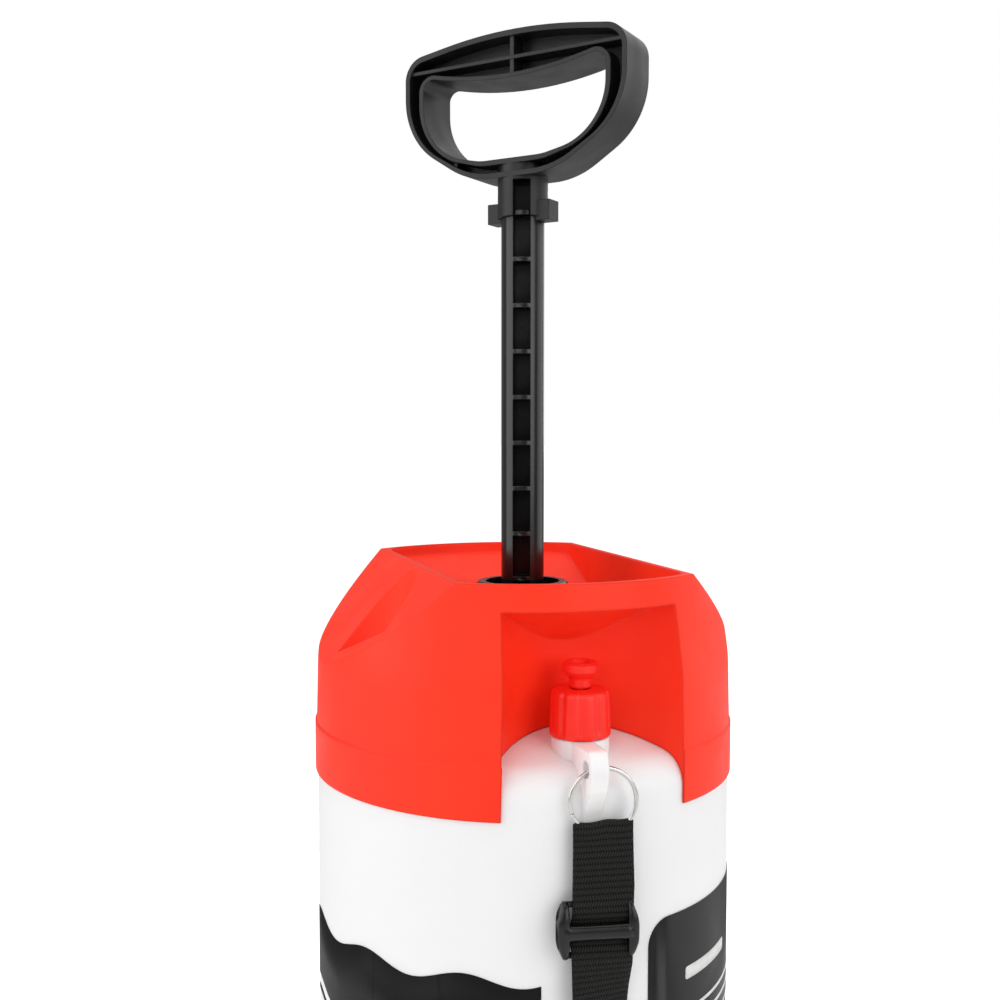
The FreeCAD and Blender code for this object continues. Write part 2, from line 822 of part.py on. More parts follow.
def make_rod():
    """A fluted rod: two long slots crossed by ribs, a spigot for the piston, a nut below."""
    length = S.rod_top - S.rod_bottom
    bar = cylinder("rod_bar", S.rod_radius, S.rod_bottom, length)
    spigot = cylinder("rod_spigot", S.spigot_radius, 380.0, 14.5)
    stud = cylinder("rod_stud", 3.5, 373.5, 7.5)
    windows = []
    for index in range(9):
        top = DIMENSIONS["top_rib"] - DIMENSIONS["rib_pitch"] * index - DIMENSIONS["rib_thickness"] / 2
        height = DIMENSIONS["rib_pitch"] - DIMENSIONS["rib_thickness"]
        for side in (-1, 1):
            low_y = -11.0 if side < 0 else 11.0 - DIMENSIONS["rod_slot_depth"] - 1.1
            depth = S.rod_slot_depth + 1.1
            windows.append(
                box(
                    "rod_window_" + str(index) + ("a" if side < 0 else "b"),
                    (-DIMENSIONS["rod_slot_width"] / 2, low_y, top - height),
                    (S.rod_slot_width, depth, height),
                )
            )
    top_window = DIMENSIONS["top_rib"] + DIMENSIONS["rib_thickness"] / 2
    windows += slot_pair("rod_top_window", top_window, DIMENSIONS["socket_slot_top"], 0.0)
    windows.append(cross_pin("rod_pin_hole", DIMENSIONS["pin_radius"] + 0.05, 40.0, 0.0))
    body = cut("rod_body", fuse("rod_blank", bar, spigot, stud), *windows)
    node(turned_about_z(body, ROD_TURN), "pump_rod")
    node(tube("piston_nut_ring", 9.0, 3.6, 374.0, 5.8), "piston_nut")


def slot_pair(name, bottom, top, turn):
    """The front and rear long slots between two levels, turned about Z."""
    width = S.rod_slot_width
    reach = 16.0
    floor = DIMENSIONS["rod_radius"] - DIMENSIONS["rod_slot_depth"]
    half = DIMENSIONS["rod_slot_width"] / 2
    return [
        box(name + "_front", (-half, -reach, bottom), (width, reach - floor, top - bottom), turn),
        box(name + "_rear", (-half, floor, bottom), (width, reach - floor, top - bottom), turn),
    ]


def cross_pin(name, radius, length, turn):
    """A bar across the socket at right angles to the slots, turned about Z."""
    item = doc.addObject("Part::Cylinder", name)
    item.Radius = radius
    item.Height = length
    facing = Rotation(Vector(0, 0, 1), turn)
    start = facing.multVec(Vector(-length / 2, 0, DIMENSIONS["pin_level"]))
    item.Placement = FreeCAD.Placement(start, facing.multiply(Rotation(Vector(0, 1, 0), 90)))
    return item


def handle_outline(inset):
    """The D handle's outer outline in its own upright plane."""
    half = S.handle_half_width - inset
    return [
        (0.0, S.handle_top + 2.5 - inset, 230.0),
        (-half, S.handle_shoulder - 2.2 - inset, 11.0 - inset),
        (-half, S.handle_bottom + 22.0, 34.0 - inset),
        (-22.0 + inset * 0.3, S.handle_bottom + inset, 40.0),
        (22.0 - inset * 0.3, S.handle_bottom + inset, 40.0),
        (half, S.handle_bottom + 22.0, 34.0 - inset),
        (half, S.handle_shoulder - 2.2 - inset, 11.0 - inset),
    ]


def grip_outline(outset):
    """The finger opening: flat sides, a hanging arch above and a bow below."""
    half = S.handle_half_width - 10.0 + outset
    return [
        (0.0, 656.8 + outset, 180.0),
        (-half, 667.0 + outset, 5.0 + outset),
        (-half, 632.0, 27.0 + outset),
        (-16.0, 625.5 - outset, 30.0),
        (16.0, 625.5 - outset, 30.0),
        (half, 632.0, 27.0 + outset),
        (half, 667.0 + outset, 5.0 + outset),
    ]


def make_handle():
    thick = S.handle_thickness
    blank = prism("handle_blank", "XZ_Plane", handle_outline(0.0), thick, midplane=True)
    opening = prism("handle_opening", "XZ_Plane", grip_outline(0.0), thick + 10.0, midplane=True)
    skin = DIMENSIONS["handle_skin"]
    channel = prism("handle_channel", "XZ_Plane", handle_outline(skin), thick + 4.0, midplane=True)
    island = prism("handle_island", "XZ_Plane", grip_outline(skin), thick + 6.0, midplane=True)
    web = box("handle_web_plate", (-80.0, -1.5, 560.0), (160.0, S.handle_web, 200.0))
    hollow = cut("handle_hollow", channel, island, web)
    socket = cylinder("socket", S.socket_radius, S.socket_bottom, 26.0)
    lugs = box(
        "locking_lugs", (-S.lug_reach.value, -4.5, S.lug_bottom), (S.lug_reach * 2.0, 9.0, S.lug_height)
    )
    long_rib = box("long_rib", (-54.5, -10.5, 669.2), (109.0, 21.0, 1.6))
    mid_rib = box("middle_rib", (-1.0, -10.2, 658.0), (2.0, 20.4, 23.0))
    bow_ribs = [
        box("bow_rib_" + str(index), (centre - 0.9, -8.5, 617.9), (1.8, 17.0, 9.0))
        for index, centre in enumerate((-31.0, 31.0))
    ]
    ribs = common("handle_ribs", fuse("rib_set", long_rib, mid_rib, *bow_ribs), channel)
    shell = cut("handle_shell", blank, hollow)
    solid = cut("handle_solid", fuse("handle_fused", shell, ribs, socket, lugs), opening)
    bore = cylinder("socket_bore", S.rod_radius + 0.02, 590.0, S.rod_top + 0.2 - 590.0)
    # the socket is slotted in line with the rod inside it
    slots = slot_pair(
        "socket_slot", DIMENSIONS["socket_bottom"] - 4.0, DIMENSIONS["socket_slot_top"], ROD_TURN - HANDLE_TURN
    )
    pin_hole = cross_pin("pin_hole", DIMENSIONS["pin_radius"] + 0.05, 40.0, ROD_TURN - HANDLE_TURN)
    body = cut("handle_body", solid, bore, pin_hole, *slots)
    node(turned_about_z(body, HANDLE_TURN), "handle")
    pin = cross_pin("pin_body", DIMENSIONS["pin_radius"], 22.6, ROD_TURN)
    node(pin, "handle_pin")


# ---------------------------------------------------------------- strap


def make_strap_link():
    """The ring in the front lug with the strap's upper loop and its slider."""
    ring = doc.addObject("Part::Torus", "ring_wire_loop")
    ring.Radius1 = DIMENSIONS["ring_radius"]
    ring.Radius2 = DIMENSIONS["ring_wire"]
    bind(ring, "Radius1", S.ring_radius)
    bind(ring, "Radius2", S.ring_wire)
    facing = Rotation(Vector(0, 0, 1), RING_TURN).multiply(Rotation(Vector(1, 0, 0), 90))
    ring.Placement = FreeCAD.Placement(
        Vector(DIMENSIONS["strap_shift"], -DIMENSIONS["strap_standoff"], DIMENSIONS["ring_level"]), facing
    )
    node(ring, "upper_ring")
    y = DIMENSIONS["strap_standoff"]
    width = S.strap_width
    thickness = DIMENSIONS["strap_thickness"]
    loop_top = 351.4
    outside = [
        (-y - 2.6, 297.0), (-y + 2.6, 297.0), (-y + 2.6, loop_top, 2.55), (-y - 2.6, loop_top, 2.55),
    ]
    inside = [
        (-y - 2.6 + thickness, 296.0), (-y + 2.6 - thickness, 296.0),
        (-y + 2.6 - thickness, loop_top - thickness, 1.2),
        (-y - 2.6 + thickness, loop_top - thickness, 1.2),
    ]
    loop = prism("loop_outside", "YZ_Plane", outside, width, midplane=True)
    gap = prism("loop_inside", "YZ_Plane", inside, width + 2.0, midplane=True)
    clear = box("loop_slider_room", (-15.0, -y - 4.0, 290.0), (30.0, 3.6, 31.0))
    node(place(cut("loop_body", loop, gap, clear), S.strap_shift), "strap_loop")
    slider = slide_buckle("slider_frame", y)
    shift = Vector(DIMENSIONS["slider_shift"], 0, 0)
    facing = Rotation(Vector(0, 0, 1), SLIDER_TURN)
    slider.Placement = FreeCAD.Placement(shift, facing, Vector(0, -y - 2.0, 0))
    node(slider, "slider")


def slide_buckle(name, y):
    """A three-bar slide buckle standing in front of the webbing: deep cheeks and three bars."""
    half = S.slider_width / 2
    cheek_width = 4.0
    low = S.slider_bottom
    high = S.slider_bottom + S.slider_height
    parts = []
    for side, start in (("left", -half), ("right", half - cheek_width)):
        cheek = prism(
            name + "_cheek_" + side,
            "YZ_Plane",
            [
                (-y - 6.2, low + 3.0, 4.5),
                (-y - 6.2, high - 3.0, 4.5),
                (-y - 0.9, high, 2.0),
                (-y - 0.9, low, 2.0),
            ],
            cheek_width,
            offset=start,
        )
        parts.append(cheek)
    bar_length = S.slider_width - 2.0
    middle = DIMENSIONS["slider_bottom"] + DIMENSIONS["slider_height"] / 2
    spread = 10.2
    for label, level, depth, radius in (
        ("low", middle - spread, 2.4, 1.4), ("middle", middle, 4.0, 2.4), ("high", middle + spread, 2.4, 1.4)
    ):
        bar = doc.addObject("Part::Cylinder", name + "_bar_" + label)
        bar.Radius = radius
        bind(bar, "Height", bar_length)
        start = Vector(1.0 - DIMENSIONS["slider_width"] / 2, -y - depth, level)
        bar.Placement = FreeCAD.Placement(start, Rotation(Vector(0, 1, 0), 90))
        parts.append(bar)
    return fuse(name, *parts)


STRAP_ROUTE = [
    (-98.7, 289.0), (-99.4, 215.0), (-102.5, 140.0), (-109.0, 80.0), (-119.0, 38.0), (-134.0, 12.0),
    (-156.0, 3.8), (-182.0, 2.8), (-203.0, 5.0), (-218.0, 11.0), (-226.0, 5.5), (-218.0, 0.66),
    (-126.0, 0.66), (-110.0, 3.4), (-103.2, 12.0), (-103.2, 22.0), (-107.6, 25.6), (-113.0, 21.0),
    (-113.6, 10.0),
]


def smooth_wire(points):
    """Straight runs joined by tangent arcs, each arc as large as its two runs allow."""
    edges = []
    here = points[0]
    for before, corner, after in zip(points, points[1:], points[2:]):
        back = before - corner
        ahead = after - corner
        reach = 0.45 * min(back.Length, ahead.Length)
        back.normalize()
        ahead.normalize()
        half = back.getAngle(ahead) / 2
        radius = reach * math.tan(half)
        start = corner + back * reach
        end = corner + ahead * reach
        middle = corner + (back + ahead).normalize() * (radius / math.sin(half) - radius)
        edges.append(Part.LineSegment(here, start).toShape())
        edges.append(Part.Arc(start, middle, end).toShape())
        here = end
    edges.append(Part.LineSegment(here, points[-1]).toShape())
    return Part.Wire(edges)


def make_strap_run():
    """The webbing below the slider: down to the floor, folded once and back to the foot's bar."""
    half_width = DIMENSIONS["strap_width"] / 2
    half_thick = DIMENSIONS["strap_thickness"] / 2
    path = smooth_wire([Vector(0, y, z) for y, z in STRAP_ROUTE])
    start = Vector(0, *STRAP_ROUTE[0])
    section = Part.makePolygon([
        start + Vector(-half_width, -half_thick, 0),
        start + Vector(half_width, -half_thick, 0),
        start + Vector(half_width, half_thick, 0),
        start + Vector(-half_width, half_thick, 0),
        start + Vector(-half_width, -half_thick, 0),
    ])
    run = doc.addObject("Part::Feature", "strap_run_swept")
    run.Shape = path.makePipeShell([section], True, False)
    run.Placement = FreeCAD.Placement(Vector(DIMENSIONS["strap_shift"], 0, 0), Rotation())
    print("strap run length", round(path.Length, 1), "mm; volume over section times length",
          round(run.Shape.Volume / (4 * half_width * half_thick * path.Length), 4))
    node(run, "strap_run")


def build_all():
    make_tank()
    make_base_foot()
    make_label()
    make_collar()
    make_collar_nut()
    make_valve()
    make_outlet()
    make_pump_cap()
    make_pump_barrel()
    make_piston()
    make_rod()
    make_handle()
    make_strap_link()
    make_strap_run()


def check():
    """Stops on any feature that failed, and on any sub-part that isn't one valid solid set."""
    doc.recompute()
    for item in doc.Objects:
        if "Invalid" in item.State or "Error" in item.State:
            raise RuntimeError(item.Name + " failed: " + str(item.State))
    for item in nodes:
        shape = item.Shape
        if shape.isNull() or not shape.isValid() or shape.Volume <= 0:
            raise RuntimeError(item.Label + " has no valid solid")
        print(item.Label, len(shape.Solids), "solid(s)", round(shape.Volume / 1000, 2), "cm3")


def export():
    os.makedirs("parts", exist_ok=True)
    for item in nodes:
        item.Shape.exportStep(os.path.join("parts", item.Label + ".step"))


build_all()
check()
export()
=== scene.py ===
"""Looks of the pump-up sprayer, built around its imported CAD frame. Metres, +Z up, the valve faces -Y."""

import math

import bmesh
import bpy
import numpy as np
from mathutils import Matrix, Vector


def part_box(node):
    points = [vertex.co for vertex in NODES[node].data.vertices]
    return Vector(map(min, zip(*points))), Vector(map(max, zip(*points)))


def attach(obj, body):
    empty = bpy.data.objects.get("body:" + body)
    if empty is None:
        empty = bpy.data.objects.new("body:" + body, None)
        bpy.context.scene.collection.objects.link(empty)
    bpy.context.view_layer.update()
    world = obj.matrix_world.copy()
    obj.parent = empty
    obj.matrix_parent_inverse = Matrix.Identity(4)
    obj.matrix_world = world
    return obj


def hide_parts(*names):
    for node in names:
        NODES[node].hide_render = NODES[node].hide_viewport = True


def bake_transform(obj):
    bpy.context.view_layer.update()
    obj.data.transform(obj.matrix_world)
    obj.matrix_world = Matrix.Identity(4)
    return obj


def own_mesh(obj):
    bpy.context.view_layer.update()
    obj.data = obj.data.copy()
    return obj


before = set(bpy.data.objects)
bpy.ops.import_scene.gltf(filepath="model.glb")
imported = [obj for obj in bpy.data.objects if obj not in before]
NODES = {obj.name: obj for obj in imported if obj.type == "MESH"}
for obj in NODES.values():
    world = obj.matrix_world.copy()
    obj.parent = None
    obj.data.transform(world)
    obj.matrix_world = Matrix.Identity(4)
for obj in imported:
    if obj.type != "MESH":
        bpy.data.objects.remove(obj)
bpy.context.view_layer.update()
MM = 0.001

# ---------------------------------------------------------------- camera, floor and light

CAMERA_PLACE = (-0.1777, -0.5281, 0.505)
CAMERA_TILT = math.radians(86.505)
CAMERA_HEADING = math.radians(-17.52)
LIGHT_TARGET = (0.0, 0.0, 0.42)


def add_camera():
    """A viewpoint to the left of the valve and above the collar, looking slightly down."""
    data = bpy.data.cameras.new("view")
    data.sensor_width = 36.0
    data.lens = 43.24
    data.clip_start = 0.01
    camera = bpy.data.objects.new("view", data)
    camera.location = CAMERA_PLACE
    camera.rotation_euler = (CAMERA_TILT, 0.0, CAMERA_HEADING)
    bpy.context.collection.objects.link(camera)
    bpy.context.scene.camera = camera


def add_area(name, place, width, height, power):
    """A white rectangular lamp aimed at the object's middle, its power in watts."""
    data = bpy.data.lights.new(name, "AREA")
    data.shape = "RECTANGLE"
    data.size = width
    data.size_y = height
    data.energy = power
    light = bpy.data.objects.new(name, data)
    light.location = place
    aim = Vector(LIGHT_TARGET) - Vector(place)
    light.rotation_euler = aim.to_track_quat("-Z", "Y").to_euler()
    bpy.context.collection.objects.link(light)


def add_world():
    """A white studio: white behind the object, dimmer in what lights and reflects."""
    white = (1.0, 1.0, 1.0, 1.0)
    world = bpy.data.worlds.new("studio")
    bpy.context.scene.world = world
    world.use_nodes = True
    tree = world.node_tree
    tree.nodes.clear()
    output = tree.nodes.new("ShaderNodeOutputWorld")
    mix = tree.nodes.new("ShaderNodeMixShader")
    path = tree.nodes.new("ShaderNodeLightPath")
    around = tree.nodes.new("ShaderNodeBackground")
    behind = tree.nodes.new("ShaderNodeBackground")
    around.inputs["Color"].default_value = white
    around.inputs["Strength"].default_value = 0.3
    behind.inputs["Color"].default_value = white
    behind.inputs["Strength"].default_value = 1.0
    tree.links.new(path.outputs["Is Camera Ray"], mix.inputs["Fac"])
    tree.links.new(around.outputs[0], mix.inputs[1])
    tree.links.new(behind.outputs[0], mix.inputs[2])
    tree.links.new(mix.outputs[0], output.inputs["Surface"])


def add_stage():
    """A plain pale floor, which glows to the camera alone and so blends into the backdrop."""
    reach = 30.0
    glow = 0.85
    corners = [(-reach, -reach, 0), (reach, -reach, 0), (reach, reach, 0), (-reach, reach, 0)]
    mesh = bpy.data.meshes.new("floor")
    mesh.from_pydata(corners, [], [(0, 1, 2, 3)])
    floor = bpy.data.objects.new("floor", mesh)
    bpy.context.collection.objects.link(floor)
    material = Shader("floor_paint", (0.93, 0.93, 0.93), 0.8, Emission_Color=(1.0, 1.0, 1.0, 1.0))
    material.speckle_color((0.9, 0.9, 0.9), (0.94, 0.94, 0.94), 12.0)
    seen = material.add("ShaderNodeMath", operation="MULTIPLY")
    seen.inputs[1].default_value = glow
    material.link(material.add("ShaderNodeLightPath").outputs["Is Camera Ray"], seen.inputs[0])
    material.link(seen.outputs[0], material.principled.inputs["Emission Strength"])
    material.give(floor)


# ---------------------------------------------------------------- materials


class Shader:
    """A principled material whose colour, roughness and bump are built up from noise in object space."""

    def __init__(self, name, color, roughness, **sockets):
        self.material = bpy.data.materials.new(name)
        self.material.use_nodes = True
        self.tree = self.material.node_tree
        self.principled = self.tree.nodes["Principled BSDF"]
        self.principled.inputs["Base Color"].default_value = (*color, 1.0)
        self.principled.inputs["Roughness"].default_value = roughness
        for socket, value in sockets.items():
            self.principled.inputs[socket.replace("_", " ")].default_value = value
        self.normal = None
        self.coordinates = self.add("ShaderNodeTexCoord").outputs["Object"]

    def add(self, kind, **settings):
        node = self.tree.nodes.new(kind)
        for key, value in settings.items():
            setattr(node, key, value)
        return node

    def link(self, a, b):
        self.tree.links.new(a, b)

    def noise(self, scale, detail=3.0, stretch=(1.0, 1.0, 1.0)):
        """A noise value at so many features to the metre."""
        mapping = self.add("ShaderNodeMapping")
        mapping.inputs["Scale"].default_value = stretch
        self.link(self.coordinates, mapping.inputs["Vector"])
        noise = self.add("ShaderNodeTexNoise")
        noise.inputs["Scale"].default_value = scale
        noise.inputs["Detail"].default_value = detail
        self.link(mapping.outputs["Vector"], noise.inputs["Vector"])
        return noise.outputs["Fac"]

    def spread(self, value, low, high, start=0.3, end=0.7):
        """Maps a noise value from start..end to low..high."""
        ramp = self.add("ShaderNodeMapRange")
        limits = {"From Min": start, "From Max": end, "To Min": low, "To Max": high}
        for socket, number in limits.items():
            ramp.inputs[socket].default_value = number
        self.link(value, ramp.inputs["Value"])
        return ramp.outputs["Result"]

    def mix_colors(self, factor, first, second):
        mix = self.add("ShaderNodeMix", data_type="RGBA")
        mix.inputs["A"].default_value = (*first, 1.0)
        mix.inputs["B"].default_value = (*second, 1.0)
        self.link(factor, mix.inputs["Factor"])
        return mix.outputs["Result"]

    def speckle_color(self, first, second, scale):
        factor = self.spread(self.noise(scale), 0.0, 1.0)
        self.link(self.mix_colors(factor, first, second), self.principled.inputs["Base Color"])

    def vary_roughness(self, low, high, scale, stretch=(1.0, 1.0, 1.0)):
        roughness = self.spread(self.noise(scale, 4.0, stretch), low, high)
        self.link(roughness, self.principled.inputs["Roughness"])

    def round_edges(self, radius):
        """Softens the look of moulded edges."""
        bevel = self.add("ShaderNodeBevel", samples=6)
        bevel.inputs["Radius"].default_value = radius
        self.normal = bevel.outputs["Normal"]
        self.link(self.normal, self.principled.inputs["Normal"])

    def paint_hollow_shade(self, reach, dull, bright):
        """Takes the shine off surfaces that lie deep between others: painted shade in the hollows."""
        hollow = self.add("ShaderNodeAmbientOcclusion", samples=4)
        hollow.inputs["Distance"].default_value = reach
        # Painted shade: the more enclosed a spot is, the lower its shine.
        level = self.spread(hollow.outputs["AO"], dull, bright, 0.45, 0.9)
        self.link(level, self.principled.inputs["Specular IOR Level"])

    def bump(self, height, depth, strength=1.0):
        """Makes a height value of 0 to 1 look like a relief that is depth metres deep."""
        node = self.add("ShaderNodeBump")
        node.inputs["Distance"].default_value = depth
        node.inputs["Strength"].default_value = strength
        self.link(height, node.inputs["Height"])
        if self.normal is not None:
            self.link(self.normal, node.inputs["Normal"])
        self.normal = node.outputs["Normal"]
        self.link(self.normal, self.principled.inputs["Normal"])

    def give(self, *objects):
        for item in objects:
            item.data.materials.clear()
            item.data.materials.append(self.material)


def paint_nodes(shader, *names):
    """Gives carried-over CAD nodes a material through their own slots."""
    for name in names:
        for slot in NODES[name].material_slots:
            slot.material = shader.material


def tank_plastic():
    """Milky blow-moulded polyethylene: soft, slightly translucent, with a gentle ripple."""
    shader = Shader(
        "milky_polyethylene", (0.86, 0.845, 0.845), 0.4,
        Subsurface_Weight=0.35, Subsurface_Scale=0.006, Specular_IOR_Level=0.3,
    )
    shader.principled.inputs["Subsurface Radius"].default_value = (1.0, 0.8, 0.7)
    shader.speckle_color((0.85, 0.832, 0.832), (0.875, 0.862, 0.862), 9.0)
    shader.vary_roughness(0.3, 0.42, 30.0)
    shader.round_edges(0.0012)
    shader.bump(shader.noise(26.0, 1.0, (1.0, 1.0, 0.4)), 0.0012, 0.5)
    shader.bump(shader.noise(1300.0, 2.0), 0.00006, 0.6)
    return shader


def collar_plastic():
    """Satin orange-red moulded plastic with a fine spark-eroded grain."""
    shader = Shader("orange_red_moulding", (0.97, 0.034, 0.010), 0.48, Specular_IOR_Level=0.2)
    shader.speckle_color((0.96, 0.031, 0.009), (0.985, 0.038, 0.012), 14.0)
    shader.vary_roughness(0.38, 0.5, 45.0)
    shader.round_edges(0.0018)
    shader.bump(shader.noise(2200.0, 2.0), 0.00005, 0.8)
    shader.bump(shader.noise(22.0, 1.0), 0.0006, 0.35)
    return shader


def valve_plastic():
    """A deeper, glossier red than the collar's."""
    shader = Shader("valve_red_moulding", (0.95, 0.024, 0.013), 0.38, Specular_IOR_Level=0.35)
    shader.speckle_color((0.93, 0.02, 0.011), (0.97, 0.028, 0.016), 60.0)
    shader.vary_roughness(0.28, 0.42, 160.0)
    shader.round_edges(0.0005)
    shader.bump(shader.noise(2600.0, 2.0), 0.00004, 0.7)
    return shader


def black_plastic(name, roughness_low, roughness_high, edge, grain):
    """Black moulded plastic with slight flow marks in its colour and its gloss."""
    shader = Shader(name, (0.004, 0.004, 0.004), roughness_low, Specular_IOR_Level=0.4)
    shader.speckle_color((0.003, 0.003, 0.003), (0.0058, 0.0058, 0.0058), 40.0)
    shader.vary_roughness(roughness_low, roughness_high, 70.0, (1.0, 1.0, 0.3))
    shader.round_edges(edge)
    shader.bump(shader.noise(1800.0, 3.0), 0.00006, grain)
    return shader


def rubber():
    """Matt black rubber of the seals and gaskets."""
    shader = Shader("black_rubber", (0.016, 0.016, 0.016), 0.75)
    shader.speckle_color((0.012, 0.012, 0.012), (0.024, 0.023, 0.022), 300.0)
    shader.bump(shader.noise(1500.0, 4.0), 0.00012, 0.8)
    return shader


def white_plastic():
    """Undyed moulded plastic of the inner parts."""
    shader = Shader(
        "natural_moulding", (0.82, 0.815, 0.79), 0.4,
        Subsurface_Weight=0.2, Subsurface_Scale=0.003,
    )
    shader.speckle_color((0.8, 0.795, 0.77), (0.85, 0.845, 0.82), 40.0)
    shader.vary_roughness(0.34, 0.48, 120.0)
    shader.bump(shader.noise(1700.0, 2.0), 0.00005, 0.7)
    return shader


def clear_tube():
    """Clear drawn tubing with faint ripples along it."""
    shader = Shader("clear_tube", (0.9, 0.92, 0.91), 0.12, Transmission_Weight=0.85, IOR=1.5)
    shader.vary_roughness(0.08, 0.2, 90.0)
    shader.bump(shader.noise(60.0, 2.0, (1.0, 1.0, 0.1)), 0.0002, 0.5)
    return shader


def metal(name, color, low, high, streaks):
    """Bare or plated metal with fine streaks, its roughness between low and high."""
    shader = Shader(name, color, low, Metallic=1.0)
    shader.vary_roughness(low, high, 260.0, streaks)
    shader.bump(shader.noise(900.0, 3.0, streaks), 0.00003, 0.6)
    return shader


def label_film():
    """A glossy black film with faint unevenness from the wall behind it."""
    shader = Shader("label_film", (0.013, 0.0125, 0.013), 0.34, Specular_IOR_Level=0.28)
    shader.speckle_color((0.010, 0.0097, 0.010), (0.018, 0.0175, 0.0175), 25.0)
    shader.vary_roughness(0.26, 0.36, 60.0)
    shader.bump(shader.noise(24.0, 1.0), 0.0006, 0.3)
    return shader


def ink(name, color):
    """Screen-printed ink, slightly uneven."""
    shader = Shader(name, color, 0.5, Specular_IOR_Level=0.15)
    thin = tuple(0.9 * c for c in color)
    thick = tuple(min(1.0, 1.08 * c) for c in color)
    shader.speckle_color(thin, thick, 220.0)
    shader.bump(shader.noise(900.0, 3.0), 0.00004, 0.7)
    return shader


ROW_PITCH = 0.0024
YARN_PITCH = 0.0011


def webbing_cloth():
    """Charcoal polypropylene webbing: raised rows of slanted yarns, reversed from row to row, with painted
    shade between the yarns.
    """
    shader = Shader("woven_webbing", (0.018, 0.018, 0.017), 0.62, Specular_IOR_Level=0.15)
    uv = shader.add("ShaderNodeUVMap", uv_map="strap")
    parts = shader.add("ShaderNodeSeparateXYZ")
    shader.link(uv.outputs["UV"], parts.inputs[0])

    def maths(operation, first, second=None):
        node = shader.add("ShaderNodeMath", operation=operation)
        for index, value in enumerate((first, second)):
            if value is None:
                continue
            if isinstance(value, float):
                node.inputs[index].default_value = value
            else:
                shader.link(value, node.inputs[index])
        return node.outputs[0]

    across, along = parts.outputs["X"], parts.outputs["Y"]
    row = maths("MULTIPLY", along, 1.0 / ROW_PITCH)
    swing = maths("PINGPONG", row, 1.0)
    slant = maths("ADD", maths("MULTIPLY", across, 1.0 / YARN_PITCH), maths("MULTIPLY", swing, 0.9))
    yarn = maths("ABSOLUTE", maths("SINE", maths("MULTIPLY", slant, math.pi)))
    crest = maths("ABSOLUTE", maths("SINE", maths("MULTIPLY", row, math.pi)))
    height = maths("MULTIPLY", maths("POWER", yarn, 0.6), maths("POWER", crest, 0.5))
    shader.bump(height, 0.00055, 1.0)
    shader.bump(shader.noise(4200.0, 2.0, (1.0, 1.0, 0.5)), 0.0001, 0.7)
    # Painted shade: the colour darkens from the yarns' crests into the hollows between them.
    lift = shader.spread(height, 0.0, 1.0, 0.1, 0.95)
    color = shader.mix_colors(lift, (0.0015, 0.0015, 0.0014), (0.02, 0.02, 0.018))
    shader.link(color, shader.principled.inputs["Base Color"])
    return shader


# ---------------------------------------------------------------- mesh helpers


def add_piece(name, vertices, faces, body, shader):
    """A smooth mesh that rides its body, or stands free where no body is given."""
    mesh = bpy.data.meshes.new(name)
    mesh.from_pydata([tuple(v) for v in vertices], [], faces)
    mesh.validate()
    piece = bpy.data.objects.new(name, mesh)
    bpy.context.collection.objects.link(piece)
    mesh.shade_smooth()
    shader.give(piece)
    if body:
        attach(piece, body)
    return piece


def ring_faces(rings, count, closed_ends=True):
    """Quads between rings of points, each ring closed on itself, and a face over each end."""
    faces = []
    for i in range(rings - 1):
        for j in range(count):
            k = (j + 1) % count
            a, b = i * count, (i + 1) * count
            faces.append((a + j, a + k, b + k, b + j))
    if closed_ends:
        faces.append(tuple(reversed(range(count))))
        faces.append(tuple(range((rings - 1) * count, rings * count)))
    return faces


def sweep(points, radius, sides=12):
    """The vertices and faces of a round wire along a list of points."""
    vertices = []
    side = None
    for i, point in enumerate(points):
        before = points[max(i - 1, 0)]
        after = points[min(i + 1, len(points) - 1)]
        ahead = (after - before).normalized()
        if side is None:
            side = ahead.orthogonal().normalized()
        side = (side - ahead * side.dot(ahead)).normalized()
        up = ahead.cross(side)
        for j in range(sides):
            angle = 2 * math.pi * j / sides
            vertices.append(point + (side * math.cos(angle) + up * math.sin(angle)) * radius)
    return vertices, ring_faces(len(points), sides)


def curve_through(controls, step):
    """A quadratic B-spline in even steps, with how far each step lies along it.

    The length is measured in the plane of the first two coordinates.
    """
    controls = np.array(controls, float)
    line = [controls[0]]
    for i in range(1, len(controls) - 1):
        start = controls[0] if i == 1 else (controls[i - 1] + controls[i]) / 2
        end = controls[-1] if i == len(controls) - 2 else (controls[i] + controls[i + 1]) / 2
        for t in np.linspace(0, 1, 40)[1:]:
            line.append((1 - t) ** 2 * start + 2 * t * (1 - t) * controls[i] + t * t * end)
    line = np.array(line)
    along = np.concatenate([[0], np.cumsum(np.linalg.norm(np.diff(line[:, :2], axis=0), axis=1))])
    places = np.linspace(0, along[-1], int(along[-1] / step) + 1)
    return np.stack([np.interp(places, along, line[:, k]) for k in range(line.shape[1])], 1), places


# ---------------------------------------------------------------- label and printed marks

LABEL_DEPTH = 0.0003
LABEL_CORNER = 0.011
LABEL_LEFT = math.radians(14.0)
LABEL_RIGHT = math.radians(91.0)
INK_LIFT = 0.00002
INK_DEPTH = 0.00008
BAR_LENGTHS = (0.083, 0.071, 0.079, 0.054, 0.081, 0.068, 0.076, 0.042, 0.078, 0.059)
BARS_IN_GROUP = 4


def rounded_outline(left, right, bottom, top, radius, steps=10):
    """A rounded rectangle on the wall, as (arc length, level) points."""
    corners = (
        (right - radius, top - radius, 0),
        (left + radius, top - radius, 90),
        (left + radius, bottom + radius, 180),
        (right - radius, bottom + radius, 270),
    )
    points = []
    for cx, cz, start in corners:
        for k in range(steps + 1):
            angle = math.radians(start + 90 * k / steps)
            points.append((cx + radius * math.cos(angle), cz + radius * math.sin(angle)))
    return points


